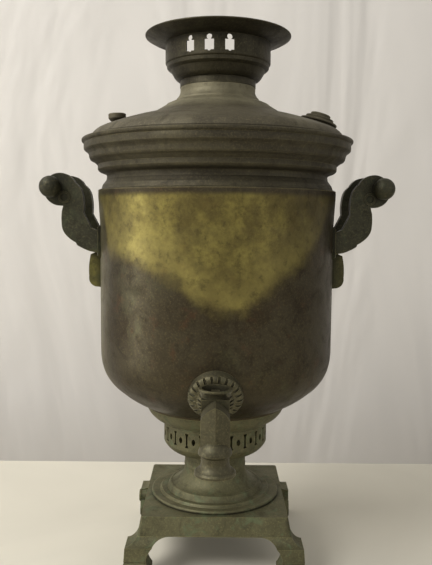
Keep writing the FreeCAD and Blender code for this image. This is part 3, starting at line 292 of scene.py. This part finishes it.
def cloth(name, colour, crease):
    """Pale matt cloth with soft creases."""
    tree = Tree(name)
    folds = tree.noise(3.0, 3.0, 0.5, stretch=(1.0, 1.0, 0.35), twist=1.5)
    weave = tree.noise(900.0, 2.0, 0.5)
    tone = tree.mix(tree.ramp(folds, 0.3, 0.7), colour, tuple(c * 0.93 for c in colour[:3]) + (1.0,))
    tree.link(tone, tree.shader.inputs["Base Color"])
    tree.shader.inputs["Roughness"].default_value = 0.95
    tree.shader.inputs["Specular IOR Level"].default_value = 0.1
    creased = tree.bump(folds, crease, 0.7)
    tree.link(tree.bump(weave, 0.0002, 0.3, normal=creased), tree.shader.inputs["Normal"])
    return tree.material


def open_from_behind(material):
    """Lets the camera see through a backdrop's rear face, so that the object shows from every side."""
    tree = material.node_tree
    output = next(node for node in tree.nodes if node.type == "OUTPUT_MATERIAL")
    shader = next(node for node in tree.nodes if node.type == "BSDF_PRINCIPLED")
    rear = tree.nodes.new("ShaderNodeMath")
    rear.operation = "MULTIPLY"
    tree.links.new(tree.nodes.new("ShaderNodeNewGeometry").outputs["Backfacing"], rear.inputs[0])
    tree.links.new(tree.nodes.new("ShaderNodeLightPath").outputs["Is Camera Ray"], rear.inputs[1])
    mix = tree.nodes.new("ShaderNodeMixShader")
    tree.links.new(rear.outputs[0], mix.inputs[0])
    tree.links.new(shader.outputs[0], mix.inputs[1])
    tree.links.new(tree.nodes.new("ShaderNodeBsdfTransparent").outputs[0], mix.inputs[2])
    tree.links.new(mix.outputs[0], output.inputs["Surface"])


def smooth(obj):
    """Smooth shading with sharp edges where faces meet steeply."""
    mesh = obj.data
    mesh.polygons.foreach_set("use_smooth", [True] * len(mesh.polygons))
    mesh.set_sharp_from_angle(angle=SMOOTH_ANGLE)


def paint(names, material):
    for name in names:
        obj = nodes[name]
        obj.data.materials.clear()
        obj.data.materials.append(material)
        smooth(obj)


def finishes():
    """A material for every node."""
    body = aged_metal("body_patina", [(67, 61, 46), (54, 46, 32), (112, 100, 64), (34, 29, 21)],
                      rough=0.42, metal=0.8, extra=worn_front_and_lit_flank)
    crown = aged_metal("crown_patina", [(76, 71, 54), (60, 55, 42), (126, 116, 82), (32, 28, 21)],
                       rough=0.55, metal=0.65)
    cover = aged_metal("lid_patina", [(92, 86, 68), (76, 70, 54), (142, 132, 98), (46, 41, 31)],
                       rough=0.62, metal=0.5, extra=pale_neck)
    cup = aged_metal("stand_patina", [(64, 60, 46), (48, 44, 33), (112, 104, 76), (22, 19, 14)],
                     rough=0.5, metal=0.75)
    base = aged_metal("base_patina", [(100, 97, 70), (84, 81, 56), (150, 143, 98), (44, 41, 29)],
                      rough=0.6, metal=0.5, green=0.55)
    cast = aged_metal("cast_patina", [(62, 61, 47), (50, 49, 37), (122, 115, 80), (26, 25, 19)],
                      rough=0.5, metal=0.7, green=0.12, extra=bright_tongue)
    tap = aged_metal("tap_patina", [(88, 84, 64), (74, 70, 52), (146, 138, 100), (40, 37, 27)],
                     rough=0.46, metal=0.7, green=0.08)
    soot = aged_metal("soot", [(34, 31, 27), (26, 23, 20), (52, 46, 36), (14, 13, 12)],
                      rough=0.75, metal=0.3)
    steel = aged_metal("dull_steel", [(96, 94, 88), (80, 76, 68), (140, 136, 126), (48, 42, 34)],
                       rough=0.45, metal=0.9)
    leather = aged_metal("leather", [(78, 52, 34), (62, 40, 26), (96, 70, 48), (34, 22, 14)],
                         rough=0.7, metal=0.0)
    paint(["body_shell"], body)
    paint(["shoulder_ring", "crown_ring"], crown)
    paint(["lid", "lid_knob", "lid_knob_nut", "vent_seat", "vent_seat_nut", "vent_cap"], cover)
    paint(["teapot_stand"], cup)
    feet = [f"foot_{row}_{side}" for row in ("front", "rear") for side in ("left", "right")]
    paint(["plinth", "neck", "air_gallery", "vessel_collar", "side_stud"] + feet, base)
    castings = ("handle_bracket", "handle_grip", "handle_finials", "handle_rivets")
    grips = [f"{piece}_{side}" for piece in castings for side in ("left", "right")]
    paint(grips, cast)
    paint(["tap_body", "tap_rosette", "tap_plug", "tap_plug_washer", "tap_plug_nut", "tap_lock_nut"], tap)
    paint(["firebox_pipe", "fire_grate"], soot)
    paint(["foot_screws", "grip_rod_left", "grip_rod_right"], steel)
    paint(["tap_gasket"], leather)


def panel(name, corners, material):
    mesh = bpy.data.meshes.new(name)
    mesh.from_pydata(corners, [], [(0, 1, 2, 3)])
    obj = bpy.data.objects.new(name, mesh)
    bpy.context.scene.collection.objects.link(obj)
    mesh.materials.append(material)


def surroundings():
    """A pale cloth on a table, and a pale cloth wall behind it."""
    table = cloth("table_cloth", linear(218, 213, 198), crease=0.004)
    wall = cloth("wall_cloth", linear(216, 212, 206), crease=0.03)
    open_from_behind(wall)
    wide, near, rear, low = TABLE_HALF_WIDTH, TABLE_FRONT, TABLE_REAR, WALL_FOOT
    panel("floor", [(-wide, near, 0), (wide, near, 0), (wide, rear, 0), (-wide, rear, 0)], table)
    panel("table_edge", [(-wide, rear, 0), (wide, rear, 0), (wide, rear, low), (-wide, rear, low)], table)
    wide, back, top = WALL_HALF_WIDTH, TABLE_REAR + WALL_GAP, WALL_TOP
    corners = [(-wide, back, low), (wide, back, low), (wide, back, top), (-wide, back, top)]
    panel("backdrop", corners, wall)


def lamp(name, place, target, width, power, colour=(1.0, 1.0, 1.0)):
    data = bpy.data.lights.new(name, "AREA")
    data.shape = "DISK"
    data.size = width
    data.energy = power
    data.color = colour
    obj = bpy.data.objects.new(name, data)
    bpy.context.scene.collection.objects.link(obj)
    obj.location = place
    obj.rotation_euler = (Vector(target) - Vector(place)).to_track_quat("-Z", "Y").to_euler()


def lights():
    """A warm key from the upper left, three weaker lamps, and an even pale sky."""
    lamp("key", (-1.1, -0.9, 1.35), (0, 0, 0.25), 0.9, 22, (1.0, 0.98, 0.95))
    lamp("low_left", (-1.2, -0.3, 0.1), (0, 0, 0.03), 0.4, 3.2, (1.0, 0.99, 0.97))
    lamp("fill", (1.3, -1.2, 0.7), (0, 0, 0.25), 1.2, 1.6, (1.0, 0.99, 0.98))
    lamp("wall_wash", (-1.0, 0.0, 1.5), (0.0, 0.6, 0.35), 0.7, 5, (1.0, 0.99, 0.97))
    world = bpy.data.worlds.new("world")
    bpy.context.scene.world = world
    world.use_nodes = True
    background = world.node_tree.nodes["Background"]
    background.inputs["Color"].default_value = WORLD_COLOUR
    background.inputs["Strength"].default_value = WORLD_STRENGTH


def camera():
    data = bpy.data.cameras.new("camera")
    data.sensor_fit = "HORIZONTAL"
    data.sensor_width = SENSOR
    data.lens = FOCAL_PIXELS / PHOTO_WIDTH * SENSOR
    obj = bpy.data.objects.new("camera", data)
    bpy.context.scene.collection.objects.link(obj)
    obj.location = (EYE_SIDE, -EYE_DISTANCE, EYE_HEIGHT)
    obj.rotation_mode = "XYZ"
    obj.rotation_euler = (math.pi / 2 - PITCH_DOWN, 0, 0)
    obj.rotation_euler = (obj.rotation_euler.to_matrix() @ roll_matrix(ROLL)).to_euler()
    bpy.context.scene.camera = obj


def roll_matrix(angle):
    """Turn about the camera's own viewing axis."""
    return Matrix.Rotation(angle, 3, "Z")


bpy.context.scene.view_settings.view_transform = "Standard"
finishes()
surroundings()
lights()
camera()
